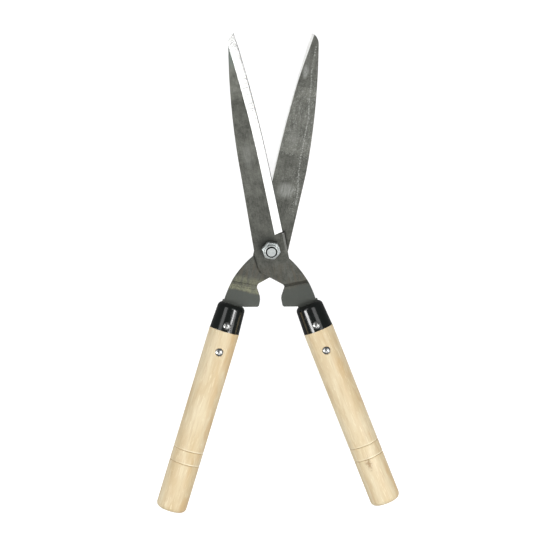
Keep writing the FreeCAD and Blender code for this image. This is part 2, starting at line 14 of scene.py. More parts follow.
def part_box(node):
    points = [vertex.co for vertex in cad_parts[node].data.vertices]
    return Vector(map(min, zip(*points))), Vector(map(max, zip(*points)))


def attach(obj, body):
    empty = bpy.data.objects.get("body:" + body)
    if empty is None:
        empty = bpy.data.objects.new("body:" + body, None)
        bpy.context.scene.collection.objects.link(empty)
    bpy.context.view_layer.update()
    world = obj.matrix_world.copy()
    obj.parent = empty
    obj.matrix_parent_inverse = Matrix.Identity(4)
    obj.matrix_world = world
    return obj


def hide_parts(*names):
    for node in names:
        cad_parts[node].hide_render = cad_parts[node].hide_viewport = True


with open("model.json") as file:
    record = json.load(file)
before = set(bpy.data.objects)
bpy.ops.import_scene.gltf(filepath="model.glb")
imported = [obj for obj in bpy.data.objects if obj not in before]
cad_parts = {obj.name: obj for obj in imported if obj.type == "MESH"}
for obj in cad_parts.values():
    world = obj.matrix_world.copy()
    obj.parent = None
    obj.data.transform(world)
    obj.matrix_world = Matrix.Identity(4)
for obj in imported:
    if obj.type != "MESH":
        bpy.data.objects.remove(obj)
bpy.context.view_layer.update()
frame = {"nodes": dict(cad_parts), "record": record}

MM = 0.001
SIDES = {"front": 1, "rear": -1}
MOUNTS = {mount["name"]: mount for mount in frame["record"]["mounts"]}


def middle(node):
    """The middle of a piece's box."""
    low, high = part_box(node)
    return (low + high) / 2


# ---------------------------------------------------------------- material building


class Shade:
    """A material and its node tree, with one short call for each kind of node."""

    def __init__(self, name, **constants):
        self.material = bpy.data.materials.new(name)
        self.material.use_nodes = True
        self.tree = self.material.node_tree
        self.shader = self.tree.nodes["Principled BSDF"]
        for socket, value in constants.items():
            self.shader.inputs[socket.replace("_", " ")].default_value = value

    def node(self, kind, inputs=(), **settings):
        """Adds a node, sets its settings and feeds its inputs."""
        made = self.tree.nodes.new(kind)
        for name, value in settings.items():
            setattr(made, name, value)
        for socket, value in dict(inputs).items():
            self.feed(made.inputs[socket], value)
        return made

    def feed(self, socket, value):
        """Sets a socket to a number or colour, or links it to another node's output."""
        if isinstance(value, bpy.types.NodeSocket):
            self.tree.links.new(value, socket)
        elif isinstance(value, (tuple, list)) and socket.type == "RGBA" and len(value) == 3:
            socket.default_value = (*value, 1.0)
        else:
            socket.default_value = value

    def to_shader(self, socket, value):
        self.feed(self.shader.inputs[socket], value)

    def math(self, operation, first, second=0.0):
        return self.node("ShaderNodeMath", {0: first, 1: second}, operation=operation).outputs[0]

    def add(self, first, second):
        return self.math("ADD", first, second)

    def times(self, first, second):
        return self.math("MULTIPLY", first, second)

    def fade(self, value, start, end, low=0.0, high=1.0):
        """Runs smoothly from low at start to high at end, and stays level outside them."""
        inputs = {
            "Value": value,
            "From Min": start,
            "From Max": end,
            "To Min": low,
            "To Max": high,
        }
        return self.node("ShaderNodeMapRange", inputs, interpolation_type="SMOOTHSTEP").outputs[0]

    def band(self, value, centre, half_width, soft):
        """1 within half_width of centre, falling to 0 over soft beyond it."""
        away = self.math("ABSOLUTE", self.math("SUBTRACT", value, centre))
        return self.fade(away, half_width, half_width + soft, 1.0, 0.0)

    def blend(self, factor, low, high, kind="MIX"):
        """The colour low where factor is 0 and high where it is 1."""
        made = self.node("ShaderNodeMix", data_type="RGBA", blend_type=kind, clamp_factor=True)
        self.feed(made.inputs[0], factor)
        self.feed(made.inputs[6], low)
        self.feed(made.inputs[7], high)
        return made.outputs[2]

    def join(self, x, y, z):
        return self.node("ShaderNodeCombineXYZ", {0: x, 1: y, 2: z}).outputs[0]

    def split(self, vector):
        return self.node("ShaderNodeSeparateXYZ", {0: vector}).outputs

    def stretch(self, vector, x, y, z):
        return self.node(
            "ShaderNodeMapping", {"Vector": vector, "Scale": (x, y, z)}, vector_type="POINT"
        ).outputs[0]

    def noise(self, vector, size, detail=3.0, rough=0.5, warp=0.0):
        """Clouds about size metres across, from 0 to 1."""
        inputs = {
            "Vector": vector,
            "Scale": 1.0 / size,
            "Detail": detail,
            "Roughness": rough,
            "Distortion": warp,
        }
        return self.node("ShaderNodeTexNoise", inputs).outputs[0]

    def place(self):
        """Position in the part's frame, which stays on the piece when the shears open."""
        return self.node("ShaderNodeTexCoord").outputs["Object"]

    def local(self, matrix):
        """Position in the frame that matrix places in the part's frame."""
        inputs = {
            "Vector": self.place(),
            "Location": matrix.to_translation(),
            "Rotation": matrix.to_euler("XYZ"),
        }
        return self.node("ShaderNodeMapping", inputs, vector_type="TEXTURE").outputs[0]

    def bump(self, height, depth):
        """A normal roughened by height (0 to 1) that stands depth metres proud."""
        inputs = {"Height": height, "Distance": depth, "Strength": 1.0}
        return self.node("ShaderNodeBump", inputs).outputs[0]

    def from_middle(self, noise, reach):
        """Noise as a shift to either side of 0, over a span of reach."""
        return self.times(self.math("SUBTRACT", noise, 0.5), reach)

    def length(self, first, second):
        """Length of a flat vector."""
        squares = self.add(self.times(first, first), self.times(second, second))
        return self.math("SQRT", squares)


# ---------------------------------------------------------------- places on the shears

HALF_OPENING = math.radians(11.2)


def half_matrix(side):
    """A half's own frame: the same half closed, with its cutting edge to +X for the front one."""
    return Matrix.Rotation(SIDES[side] * HALF_OPENING, 4, "Z")


def handle_matrix(side):
    """A handle's frame: Z down the handle, Y out of its front, origin level with its rivet."""
    along = Vector(MOUNTS[f"{side}_butt"]["axis"]).normalized()
    head = middle(f"{side}_handle_rivet")
    tail = middle(f"{side}_handle_burr")
    front = head - tail
    front = (front - along * front.dot(along)).normalized()
    across = front.cross(along)
    point = Vector(MOUNTS[f"{side}_butt"]["pos_m"])
    origin = point + along * (head - point).dot(along)
    rotation = Matrix((across, front, along)).transposed().to_4x4()
    return Matrix.Translation(origin) @ rotation


# ---------------------------------------------------------------- steel


# The cutting edge in a closed half's frame: where it passes, how it leans there, and its bow.
EDGE_U = 13.6 * MM
EDGE_V = 80 * MM
EDGE_LEAN = 0.0151
EDGE_BOW_RADIUS = 1.4


class BladeShade(Shade):
    """A blade's material, with the blade's own coordinates: u across towards the cutting edge and
    v along from the pivot, both in metres."""

    def __init__(self, name, side, **constants):
        super().__init__(name, **constants)
        x, y, z = self.split(self.local(half_matrix(side)))
        self.u = self.times(x, float(SIDES[side]))
        self.v = y
        self.flat = self.join(self.u, self.v, z)

    def spot(self, u, v, wide, long):
        """A soft oval patch, 1 in its middle."""
        across = self.times(self.math("SUBTRACT", self.u, u * MM), 1 / (wide * MM))
        along = self.times(self.math("SUBTRACT", self.v, v * MM), 1 / (long * MM))
        return self.fade(self.length(across, along), 0.35, 1.0, 1.0, 0.0)

    def near_segment(self, start, end, half_width, soft):
        """1 within half_width of the line between two points, falling to 0 over soft, all in mm."""
        (u0, v0), (u1, v1) = start, end
        du, dv = u1 - u0, v1 - v0
        across = self.math("SUBTRACT", self.u, u0 * MM)
        along = self.math("SUBTRACT", self.v, v0 * MM)
        run = self.add(self.times(across, du), self.times(along, dv))
        run = self.times(run, 1 / ((du * du + dv * dv) * MM))
        run = self.math("MINIMUM", self.math("MAXIMUM", run, 0.0), 1.0)
        across = self.math("SUBTRACT", across, self.times(run, du * MM))
        along = self.math("SUBTRACT", along, self.times(run, dv * MM))
        away = self.length(across, along)
        return self.fade(away, half_width * MM, (half_width + soft) * MM, 1.0, 0.0)

    def from_edge(self):
        """Distance in from the cutting edge, which is straight at first and then bows away."""
        past = self.math("MAXIMUM", self.math("SUBTRACT", self.v, EDGE_V), 0.0)
        bow = self.times(self.times(past, past), 1 / (2 * EDGE_BOW_RADIUS))
        lean = self.times(self.math("SUBTRACT", self.v, EDGE_V), EDGE_LEAN)
        edge = self.math("SUBTRACT", self.math("SUBTRACT", EDGE_U, lean), bow)
        return self.math("SUBTRACT", edge, self.u)


STEEL = (0.148, 0.151, 0.132)
STEEL_PALE = (0.40, 0.41, 0.385)
STEEL_BRIGHT = (0.58, 0.59, 0.56)
STEEL_TAN = (0.310, 0.318, 0.215)
STEEL_BLUE = (0.119, 0.130, 0.117)
STEEL_BROWN = (0.135, 0.120, 0.092)
STEEL_TEAL = (0.240, 0.290, 0.265)
STEEL_OUTLINE_SHADOW = (0.026, 0.026, 0.022)
STEEL_CREASE_SHADE = (0.03, 0.03, 0.026)
STEEL_NUT_SHADOW_AND_GRIME = (0.020, 0.023, 0.020)
STEEL_HONED = (0.95, 0.95, 0.93)
BEVEL_LOW = (0.62, 0.62, 0.61)
BEVEL_HIGH = (0.67, 0.67, 0.66)
BEVEL_BURNT = (0.46, 0.46, 0.43)
BEVEL_EDGE = (0.04, 0.04, 0.04)

# Brightness of the steel by the pivot, and well along each blade.
LOW_TONE = 0.77
HIGH_TONE = {"front": 1.12, "rear": 1.22}
# Where the brightness changes near the tip, in mm along the blade, and by what factor.
TIP_TONE = {"front": (152, 166, 1.22), "rear": (161.2, 162.0, 0.76)}
# A darker zone across each blade: its middle and half its length, in mm along the blade.
DARK_ZONE = {"front": (137, 13), "rear": (82, 13)}
# Rubbed patches: u, v, half width and half length in mm, and strength.
PATCHES = {
    "front": ((-4.5, 96, 6.5, 16, 0.45),),
    "rear": (
        (3.2, 176.5, 3.8, 9, 1.25),
        (2.0, 112, 8.5, 12, 0.32),
        (-2.0, 60, 10.5, 10, 1.0),
    ),
}
# Strength of the bare specks.
SPECKLE = {"front": 0.22, "rear": 0.75}
# The rear blade's speckled zone: its middle and half its length, in mm along the blade.
SPECKLED_ZONE = (128, 33)
# The rear blade's scored line: where it starts across the blade, each bend (from, to, rise), and
# where it fades in and out along the blade, all in mm.
SCORED_START = -14.6
SCORED_BENDS = ((47, 99, 5.3), (99, 129, 0.6), (129, 158, 3.7), (158, 182, 3.0), (182, 204, 0.5))
SCORED_IN = (44, 50)
SCORED_OUT = (200, 206)
# Painted shadow lines from point to point (u, v) in mm, along the other half's outline.
OUTLINE_SHADOW_LINES = {
    "front": (),
    "rear": (
        ((13.4, -11.6), (8.0, -21.3)),
        ((8.0, -21.3), (5.0, -25.0)),
        ((5.0, -25.0), (-0.5, -27.2)),
        ((-9.1, 18.6), (-13.7, 5.7)),
    ),
}
# Painted nut shadow and grime on the front half: u, v, half width and half length in mm.
NUT_SHADOW_AND_GRIME = (-1.8, 4.2, 13.5, 13.5)
# The front blade turns greener between these, in mm along the blade.
TEAL_TIP = (176, 192)
# Heat colours of the tang, in mm along it: the straw band, its halo, and where blue takes over.
TAN_BAND = -44.8
TAN_HALO = -38.0
TAN_STRENGTH = {"front": 0.06, "rear": 1.0}
BLUE_FROM = {"front": -41.8, "rear": -46.5}
# Painted shade in the bending creases of the tang: where, in mm along it, and how dark.
CREASE_SHADE_LINES = {"front": ((-41.0, 0.30),), "rear": ((-40.0, 0.8), (-44.0, 0.5))}
# Brightness of the honed edge below the heel, where the bevel hasn't begun.
HONED_BELOW_HEEL = {"front": 0.13, "rear": 0.0}


class SteelShade(BladeShade):
    """The rolled steel of a blade, with the noises that its marks share."""

    def __init__(self, side):
        super().__init__(f"{side}_blade_steel", side, Metallic=0.7)
        self.side = side
        self.clouds = self.noise(self.flat, 16 * MM, 5, 0.6)
        self.blots = self.noise(self.flat, 4.5 * MM, 4, 0.65)
        self.grain = self.noise(self.flat, 1.1 * MM, 4, 0.65)
        self.drawn = self.noise(self.stretch(self.flat, 1, 0.05, 1), 0.7 * MM, 3, 0.6)
        self.streaks = self.noise(self.stretch(self.flat, 1, 0.10, 1), 2.2 * MM, 4, 0.6)


def rolled_tone(s):
    """Brightness of the rolled surface: mottled, drawn along the blade, and changing along it."""
    tone = s.add(s.fade(s.clouds, 0.3, 0.7, 0.80, 1.20), s.fade(s.grain, 0.3, 0.7, -0.20, 0.20))
    tone = s.add(tone, s.fade(s.blots, 0.3, 0.7, -0.15, 0.15))
    tone = s.add(tone, s.fade(s.drawn, 0.3, 0.7, -0.12, 0.12))
    tone = s.times(tone, s.fade(s.v, 15 * MM, 105 * MM, LOW_TONE, HIGH_TONE[s.side]))
    start, end, change = TIP_TONE[s.side]
    tone = s.times(tone, s.fade(s.v, start * MM, end * MM, 1.0, change))
    centre, reach = DARK_ZONE[s.side]
    darker = s.times(s.band(s.v, centre * MM, reach * MM, 4 * MM), -0.16)
    return s.times(tone, s.add(1.0, darker))


def rubbed_patches(s):
    """Ovals where work has rubbed the steel brighter, 1 where they are brightest."""
    polished = 0.0
    for u, v, wide, long, strength in PATCHES[s.side]:
        polished = s.math("MAXIMUM", s.times(s.spot(u, v, wide, long), strength), polished)
    rubbed = s.noise(s.stretch(s.flat, 1, 0.07, 1), 1.0 * MM, 3, 0.6)
    return s.times(polished, s.fade(rubbed, 0.36, 0.60, 0.35, 1.0))


def scored_line(s):
    """The broken pale line that was scored along the rear blade, 1 on its dots."""
    bend = SCORED_START * MM
    for start, end, rise in SCORED_BENDS:
        bend = s.add(bend, s.fade(s.v, start * MM, end * MM, 0.0, rise * MM))
    line = s.band(s.math("SUBTRACT", s.u, bend), 0.0, 0.25 * MM, 0.8 * MM)
    dots = s.fade(s.noise(s.flat, 1.3 * MM, 3, 0.7), 0.46, 0.60)
    starts = s.fade(s.v, SCORED_IN[0] * MM, SCORED_IN[1] * MM)
    stops = s.fade(s.v, SCORED_OUT[0] * MM, SCORED_OUT[1] * MM, 1.0, 0.0)
    return s.times(s.times(line, dots), s.times(starts, stops))


def bare_marks(s):
    """Bare specks and flecks, most of them near the spine, and the rear blade's scored line."""
    specks = s.fade(s.noise(s.flat, 1.0 * MM, 2, 0.7), 0.57, 0.63)
    fleck_noise = s.noise(s.stretch(s.flat, 1, 0.35, 1), 2.2 * MM, 4, 0.75, 0.6)
    flecks = s.fade(fleck_noise, 0.56, 0.66)
    near_spine = s.fade(s.u, -13.5 * MM, -4 * MM, 1.0, 0.25)
    on_blade = s.fade(s.v, 22 * MM, 60 * MM)
    amount = s.times(s.times(near_spine, on_blade), s.fade(s.clouds, 0.42, 0.62, 0.25, 1.0))
    if s.side == "rear":
        centre, reach = SPECKLED_ZONE
        zone = s.times(s.band(s.v, centre * MM, reach * MM, 1 * MM), 0.5)
        amount = s.math("MAXIMUM", amount, zone)
    marks = s.times(s.times(s.math("MAXIMUM", specks, flecks), amount), SPECKLE[s.side])
    if s.side == "rear":
        marks = s.math("MAXIMUM", marks, s.times(scored_line(s), 0.8))
    return marks


def with_tip_colour_and_painted_shadows(s, colour):
    """Adds painted shadow lines; on the front half, the green tip and painted shadow by the nut."""
    # Painted shadow of the other half's edge, as lines along its outline.
    for start, end in OUTLINE_SHADOW_LINES[s.side]:
        line = s.times(s.near_segment(start, end, 0.5, 2.0), s.fade(s.blots, 0.3, 0.6, 0.7, 1.0))
        colour = s.blend(s.times(line, 0.95), colour, STEEL_OUTLINE_SHADOW)
    if s.side == "front":
        tip = s.fade(s.v, TEAL_TIP[0] * MM, TEAL_TIP[1] * MM, 0.0, 0.6)
        colour = s.blend(tip, colour, STEEL_TEAL)
        # Painted shadow of the nut, with some grime, on the plate round it.
        stain = s.times(s.spot(*NUT_SHADOW_AND_GRIME), s.fade(s.blots, 0.3, 0.6, 0.65, 1.0))
        colour = s.blend(s.times(stain, 0.85), colour, STEEL_NUT_SHADOW_AND_GRIME)
    return colour


def with_heat_colours(s, colour):
    """Adds the brown, straw and blue that bending the tang hot left on it."""
    below = s.fade(s.v, -12 * MM, -24 * MM)
    brown = s.times(s.times(below, s.fade(s.streaks, 0.42, 0.66)), 0.6)
    colour = s.blend(brown, colour, STEEL_BROWN)
    wander = s.add(s.v, s.from_middle(s.clouds, 4.0 * MM))
    wander = s.add(wander, s.from_middle(s.blots, 3.0 * MM))
    tan = s.band(wander, TAN_BAND * MM, 1.2 * MM, 3.0 * MM)
    halo = s.band(wander, TAN_HALO * MM, 1.0 * MM, 6.0 * MM)
    heat = s.times(s.fade(s.streaks, 0.30, 0.60, 0.35, 1.0), TAN_STRENGTH[s.side])
    heat = s.times(heat, s.fade(s.grain, 0.36, 0.56, 0.3, 1.0))
    straw = s.times(s.math("MAXIMUM", tan, s.times(halo, 0.7)), heat)
    colour = s.blend(straw, colour, STEEL_TAN)
    blue_from = BLUE_FROM[s.side]
    blue = s.times(s.fade(wander, blue_from * MM, (blue_from - 2.5) * MM), 0.8)
    return s.blend(blue, colour, STEEL_BLUE)


def with_crease_shade(s, colour):
    """Adds painted shade along the fine creases across the tang's bend."""
    dashes = s.fade(s.noise(s.stretch(s.flat, 1, 0.2, 1), 1.6 * MM, 2, 0.5), 0.38, 0.52, 0.25, 1.0)
    for crease, depth in CREASE_SHADE_LINES[s.side]:
        wander = s.add(s.v, s.from_middle(s.blots, 1.0 * MM))
        line = s.band(wander, crease * MM, 0.15 * MM, 0.35 * MM)
        # Painted shade along each crease, broken into dashes.
        colour = s.blend(s.times(s.times(line, dashes), depth), colour, STEEL_CREASE_SHADE)
    return colour


def with_honed_edge(s, colour):
    """Adds the narrow bright strip that honing left on the flat side of the cutting edge."""
    reach = s.add(s.from_edge(), s.fade(s.v, 160 * MM, 214 * MM, 0.0, -1.5 * MM))
    honed = s.fade(reach, 1.1 * MM, 1.4 * MM, 1.0, 0.0)
    honed = s.times(honed, s.fade(s.v, 13 * MM, 15 * MM, HONED_BELOW_HEEL[s.side], 1.0))
    honed = s.times(honed, s.fade(s.v, -8 * MM, -2 * MM))
    return s.blend(s.times(honed, 0.95), colour, STEEL_HONED)


def blade_steel(side):
    """Dark rolled steel: soft mottling, fine scratches along the blade, rubbed patches, and heat
    colours where the tang was bent hot."""
    s = SteelShade(side)
    tone = rolled_tone(s)
    colour = s.blend(1.0, STEEL, s.join(tone, tone, tone), "MULTIPLY")
    polished = rubbed_patches(s)
    colour = s.blend(s.times(polished, 0.62), colour, STEEL_PALE)
    colour = s.blend(bare_marks(s), colour, STEEL_BRIGHT)
    colour = with_tip_colour_and_painted_shadows(s, colour)
    colour = with_heat_colours(s, colour)
    colour = with_crease_shade(s, colour)
    s.to_shader("Base Color", with_honed_edge(s, colour))
    rough = s.add(s.fade(s.grain, 0.3, 0.7, 0.40, 0.52), s.times(polished, -0.12))
    s.to_shader("Roughness", rough)
    height = s.add(s.times(s.grain, 0.6), s.times(s.drawn, 0.4))
    s.to_shader("Normal", s.bump(height, 0.035 * MM))
    return s.material


def ground_bevel(side):
    """The ground bevel: bright, with grinding lines across it and a dull line at the very edge."""
    s = BladeShade(f"{side}_blade_bevel", side, Metallic=1.0)
    lines = s.noise(s.stretch(s.flat, 0.05, 1, 0.05), 0.5 * MM, 3, 0.6)
    burn = s.noise(s.flat, 22 * MM, 3, 0.5)
    colour = s.blend(s.fade(lines, 0.3, 0.7), BEVEL_LOW, BEVEL_HIGH)
    colour = s.blend(s.fade(burn, 0.55, 0.8, 0.0, 0.04), colour, BEVEL_BURNT)
    dull = s.band(s.from_edge(), 0.0, 0.50 * MM, 0.25 * MM)
    colour = s.blend(dull, colour, BEVEL_EDGE)
    s.to_shader("Base Color", colour)
    s.to_shader("Roughness", s.fade(lines, 0.3, 0.7, 0.12, 0.18))
    s.to_shader("Normal", s.bump(lines, 0.007 * MM))
    return s.material


# What tells the bevel's faces from the flat ones: how far they lean towards the edge, how much
# they still face up or down, and where the bevel starts, in mm from the pivot.
BEVEL_LEAN = (0.08, 0.6)
BEVEL_UPRIGHT = 0.7
BEVEL_FROM = 5


def paint_blade(side):
    """Steel all over, and the ground material on the sloping faces along the cutting edge."""
    node = frame["nodes"][f"{side}_blade"]
    node.data.materials.clear()
    node.data.materials.append(blade_steel(side))
    node.data.materials.append(ground_bevel(side))
    to_half = half_matrix(side).inverted().to_3x3()
    least, most = BEVEL_LEAN
    for face in node.data.polygons:
        normal = to_half @ face.normal
        along = (to_half @ face.center).y
        slopes = least < abs(normal.x) < most and abs(normal.z) > BEVEL_UPRIGHT
        face.material_index = 1 if slopes and along > BEVEL_FROM * MM else 0


# ---------------------------------------------------------------- wood

WOOD_LOW = (0.665, 0.520, 0.305)
WOOD_HIGH = (0.780, 0.672, 0.462)
WOOD_GRAIN = (0.560, 0.405, 0.220)
WOOD_CREAM = (0.930, 0.850, 0.640)
WOOD_TAN = (0.640, 0.440, 0.215)
WOOD_DARK = (0.330, 0.200, 0.090)
# The two turned rings, in mm down the handle from its rivet, and each one's painted highlight on
# the upper lip and painted shade in the groove: how far from the ring, half width, and softness.
TURNED_RINGS = (102.1, 115.5)
RING_LIP_HIGHLIGHT = (-0.55, 0.30, 0.50)
RING_GROOVE_SHADE = (0.40, 0.10, 0.30)
# The pin knot on the front handle, in mm: across and down the handle, then half its width and
# half its length.
KNOT_AT = (-2.2, 121.0)
KNOT_SIZE = (4.2, 8.0)
# How far along the log each handle was cut, in metres, so that their grain differs.
LOG_SHIFT = {"rear": 0.5, "front": 1.0}


def with_ring_highlight_and_shade(s, colour, x, z, broken):
    """Adds the two rings, each a painted highlight on its lip and painted shade in its groove."""
    for ring in TURNED_RINGS:
        # Painted highlight along the upper lip, brighter towards one side of the handle.
        offset, half_width, soft = RING_LIP_HIGHLIGHT
        lip = s.band(z, (ring + offset) * MM, half_width * MM, soft * MM)
        lip = s.times(lip, s.fade(x, -7 * MM, 5 * MM, 0.4, 1.0))
        colour = s.blend(s.times(lip, broken), colour, WOOD_CREAM)
        # Painted shade in the groove.
        offset, half_width, soft = RING_GROOVE_SHADE
        groove = s.band(z, (ring + offset) * MM, half_width * MM, soft * MM)
        colour = s.blend(s.times(s.times(groove, broken), 0.65), colour, WOOD_DARK)
    return colour


def knot_mark(s, on_handle):
    """A small dark pin knot with torn grain round it."""
    x, y, z = s.split(on_handle)
    across = s.times(s.math("SUBTRACT", x, KNOT_AT[0] * MM), 1 / (KNOT_SIZE[0] * MM))
    along = s.times(s.math("SUBTRACT", z, KNOT_AT[1] * MM), 1 / (KNOT_SIZE[1] * MM))
    away = s.length(across, along)
    ragged = s.add(away, s.from_middle(s.noise(on_handle, 2.2 * MM, 3), 1.6))
    heart = s.fade(ragged, 0.15, 0.75, 0.8, 0.0)
    torn = s.fade(s.noise(on_handle, 1.0 * MM, 3, 0.6, 1.5), 0.50, 0.60)
    torn = s.times(torn, s.fade(away, 0.6, 1.1, 0.7, 0.0))
    return s.times(s.math("MAXIMUM", heart, torn), s.fade(y, 0.0, 4 * MM))


def turned_wood(side):
    """Pale close-grained hardwood with fine streaks along the handle and a thin clear coat."""
    s = Shade(f"{side}_handle_wood", Coat_Weight=0.2, Coat_Roughness=0.4)
    on_handle = s.local(handle_matrix(side))
    at = s.local(handle_matrix(side) @ Matrix.Translation((0, 0, -LOG_SHIFT[side])))
    x, _, z = s.split(on_handle)
    slow = s.noise(s.stretch(at, 1, 1, 0.16), 8 * MM, 4, 0.55, 0.4)
    rings = s.noise(s.stretch(at, 1, 1, 0.07), 1.9 * MM, 4, 0.6, 0.5)
    wisps = s.noise(s.stretch(at, 1, 1, 0.10), 1.1 * MM, 3, 0.6, 0.3)
    fibre = s.noise(s.stretch(at, 1, 1, 0.05), 0.45 * MM, 2, 0.6)
    clouds = s.noise(s.stretch(at, 1, 1, 0.35), 12 * MM, 3, 0.5)
    colour = s.blend(s.fade(slow, 0.30, 0.70), WOOD_LOW, WOOD_HIGH)
    colour = s.blend(s.fade(rings, 0.50, 0.70, 0.0, 0.34), colour, WOOD_GRAIN)
    colour = s.blend(s.fade(fibre, 0.52, 0.75, 0.0, 0.20), colour, WOOD_GRAIN)
    colour = s.blend(s.fade(wisps, 0.56, 0.66, 0.0, 0.45), colour, WOOD_CREAM)
    warm = s.times(s.fade(x, 0 * MM, 10 * MM), s.fade(clouds, 0.46, 0.60, 0.0, 0.6))
    colour = s.blend(warm, colour, WOOD_TAN)
    broken = s.fade(clouds, 0.40, 0.60, 0.45, 1.0)
    colour = with_ring_highlight_and_shade(s, colour, x, z, broken)
    if side == "front":
        colour = s.blend(knot_mark(s, on_handle), colour, WOOD_DARK)
    s.to_shader("Base Color", colour)
    s.to_shader("Roughness", s.fade(fibre, 0.3, 0.7, 0.46, 0.60))
    height = s.add(s.times(fibre, 0.5), s.times(rings, 0.5))
    s.to_shader("Normal", s.bump(height, 0.05 * MM))
    return s.material


# ---------------------------------------------------------------- plastic and bright metal


def black_gloss():
    """Moulded black ferrule: deep gloss with the faint ripple and fine rubbing of real plastic."""
    s = Shade("ferrule_black", Coat_Weight=1.0, Coat_Roughness=0.13, Coat_IOR=1.5, IOR=1.5)
    at = s.place()
    scuff = s.noise(at, 5 * MM, 5, 0.65)
    ripple = s.noise(at, 7 * MM, 2, 0.5)
    pores = s.noise(at, 0.6 * MM, 2, 0.5)
    s.to_shader("Base Color", s.blend(scuff, (0.002, 0.004, 0.003), (0.005, 0.007, 0.006)))
    s.to_shader("Roughness", s.fade(scuff, 0.35, 0.7, 0.13, 0.22))
    height = s.add(s.times(ripple, 0.9), s.times(pores, 0.05))
    s.to_shader("Normal", s.bump(height, 0.06 * MM))
    return s.material


def plated_rivet():
    """Bright nickel dome, with the small dents that setting the rivet leaves."""
    s = Shade("rivet_nickel", Metallic=1.0)
    at = s.place()
    dents = s.noise(at, 1.5 * MM, 3, 0.6)
    stain = s.noise(at, 3 * MM, 3, 0.6)
    colour = s.blend(s.fade(stain, 0.45, 0.75), (0.66, 0.67, 0.66), (0.42, 0.42, 0.39))
    s.to_shader("Base Color", colour)
    s.to_shader("Roughness", s.fade(dents, 0.3, 0.7, 0.20, 0.34))
    s.to_shader("Normal", s.bump(dents, 0.05 * MM))
    return s.material


def bright_zinc(name, tone):
    """Zinc plate on the pivot: silvery with a cool cast, a little cloudy and lightly scuffed."""
    s = Shade(name, Metallic=0.72)
    at = s.place()
    cloud = s.noise(at, 3.5 * MM, 4, 0.6)
    scuff = s.noise(s.stretch(at, 1, 0.3, 1), 0.7 * MM, 4, 0.65)
    colour = s.blend(s.fade(cloud, 0.35, 0.7), (0.66, 0.71, 0.70), (0.80, 0.84, 0.83))
    colour = s.blend(s.fade(scuff, 0.62, 0.75, 0.0, 0.4), colour, (0.42, 0.44, 0.44))
    # A tone below 1 darkens this copy all over: painted shade, as on the bolt's end.
    colour = s.blend(1.0, colour, (tone, tone, tone), "MULTIPLY")
    s.to_shader("Base Color", colour)
    s.to_shader("Roughness", s.fade(scuff, 0.3, 0.7, 0.30, 0.45))
    s.to_shader("Normal", s.bump(scuff, 0.008 * MM))
    return s.material


def satin_nylon():
    """The dark insert of the lock nut."""
    s = Shade("insert_nylon")
    grain = s.noise(s.place(), 0.5 * MM, 3, 0.6)
    s.to_shader("Base Color", s.blend(grain, (0.006, 0.008, 0.008), (0.014, 0.017, 0.017)))
    s.to_shader("Roughness", s.fade(grain, 0.3, 0.7, 0.42, 0.6))
    s.to_shader("Normal", s.bump(grain, 0.03 * MM))
    return s.material


def paint(node, material):
    """Gives a piece one material all over."""
    mesh = frame["nodes"][node].data
    mesh.materials.clear()
    mesh.materials.append(material)


# ---------------------------------------------------------------- edges

# Points closer than this, in mm, are joined, faces flatter than this are made one, and edges
# sharper than this are rounded.
WELD_WITHIN = 0.002
FLAT_WITHIN = math.radians(0.3)
SHARP_FROM = math.radians(30)


def soften(node, width):
    """Rounds a piece's sharp edges by width mm, on the shape that the CAD gives."""
    piece = frame["nodes"][node]
    weld = piece.modifiers.new("join_seams", "WELD")
    weld.merge_threshold = WELD_WITHIN * MM
    flatten = piece.modifiers.new("whole_faces", "DECIMATE")
    flatten.decimate_type = "DISSOLVE"
    flatten.angle_limit = FLAT_WITHIN
    flatten.delimit = {"MATERIAL"}
    edge = piece.modifiers.new("rounded_edges", "BEVEL")
    edge.width = width * MM
    edge.segments = 2
    edge.limit_method = "ANGLE"
    edge.angle_limit = SHARP_FROM
    normals = piece.modifiers.new("even_shading", "WEIGHTED_NORMAL")
    normals.weight = 60
    for face in piece.data.polygons:
        face.use_smooth = True


# ---------------------------------------------------------------- the bolt's thread

# M10 thread, in mm: pitch, radii, the flat share of a crest and of a root, and how far its end is
# turned down and chamfered.
PITCH = 1.5
CREST = 4.95
ROOT = 4.1
FLAT_SHARE = 0.12
END_STEP = 0.1
END_CHAMFER = 0.5
# It starts this far above the underside of the front plate, and the plain shank laps into it.
THREAD_FROM = 3.0
SHANK_LAP = 0.5
THREAD_STEPS = 96
THREAD_LEVELS = 180


def thread_radius(height, turn, top):
    """Radius of the thread's surface, height mm above its start, tapering at its top end."""
    phase = (height / PITCH - turn) % 1.0
    rise = 1.0 - abs(2.0 * phase - 1.0)
    flank = min(max((rise - FLAT_SHARE) / (1.0 - 2 * FLAT_SHARE), 0.0), 1.0)
    radius = ROOT + (CREST - ROOT) * flank
    return min(radius, CREST - END_STEP - max(height - (top - END_CHAMFER), 0.0))


def shaded_oily_thread():
    """The bolt's thread: painted shade and old oil make it dark all over."""
    s = Shade("thread_shade_and_oil", Metallic=0.8)
    film = s.noise(s.place(), 0.8 * MM, 3, 0.6)
    s.to_shader("Base Color", s.blend(film, (0.020, 0.022, 0.022), (0.060, 0.064, 0.062)))
    s.to_shader("Roughness", s.fade(film, 0.3, 0.7, 0.35, 0.55))
    return s.material


def thread_rows(mesh, start, top):
    """Rings of vertices up the thread, from its start to the bolt's end."""
    rows = []
    for level in range(THREAD_LEVELS + 1):
        height = start + (top - start) * level / THREAD_LEVELS
        row = []
        for step in range(THREAD_STEPS):
            turn = step / THREAD_STEPS
            angle = 2 * math.pi * turn
            radius = thread_radius(height - start, turn, top - start) * MM
            spot = (radius * math.cos(angle), radius * math.sin(angle), height * MM)
            row.append(mesh.verts.new(spot))
        rows.append(row)
    return rows


